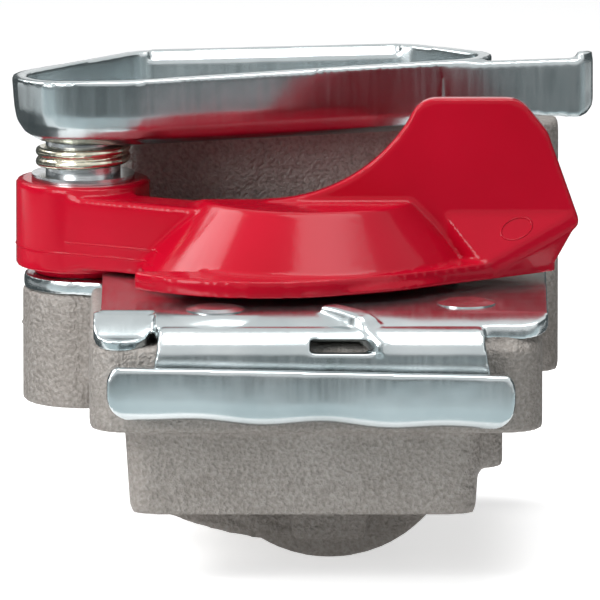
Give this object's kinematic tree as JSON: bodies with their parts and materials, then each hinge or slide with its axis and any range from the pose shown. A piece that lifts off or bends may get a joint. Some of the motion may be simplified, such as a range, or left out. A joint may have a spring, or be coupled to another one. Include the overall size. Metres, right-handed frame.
{
  "type": "gladhand air brake coupler",
  "caption": "Palm coupling head for a trailer air brake hose, with a cast body, a pressed claw and flange, and a sprung swinging dust cover.",
  "frame": {"origin": "middle of the seal on the palm face, the flange plate's top face", "axes": "+X to the right seen from the front lip, +Y back to the hose port, +Z out of the palm face towards the claw"},
  "size_m": [0.104, 0.1036, 0.0843],
  "materials": {
    "cast_aluminium": "sand-textured raw casting",
    "zinc_plate": "bright zinc-plated pressed sheet",
    "fastener_steel": "zinc-plated",
    "spring_wire": "pale passivated wire",
    "red_plastic": "glossy moulded",
    "black_rubber": "matt"
  },
  "bodies": {
    "body": {"body": "cast_aluminium", "claw_plate": "zinc_plate", "flange_plate": "zinc_plate", "seal_ring": "black_rubber", "flange_rivets": "fastener_steel", "claw_screws": "fastener_steel", "pivot_bolt": "fastener_steel", "pivot_washer": "fastener_steel", "cover_bush": "fastener_steel", "cover_spring": "spring_wire"},
    "cover": {"cover": "red_plastic"}
  },
  "joints": [
    {"name": "cover_swing", "type": "hinge", "parent": "body", "child": "cover", "pos_m": [-0.0405, 0.016, 0.007], "axis": [0, 0, -1], "range_deg": [0, 110], "stiffness_Nm_per_rad": 0.05}
  ]
}
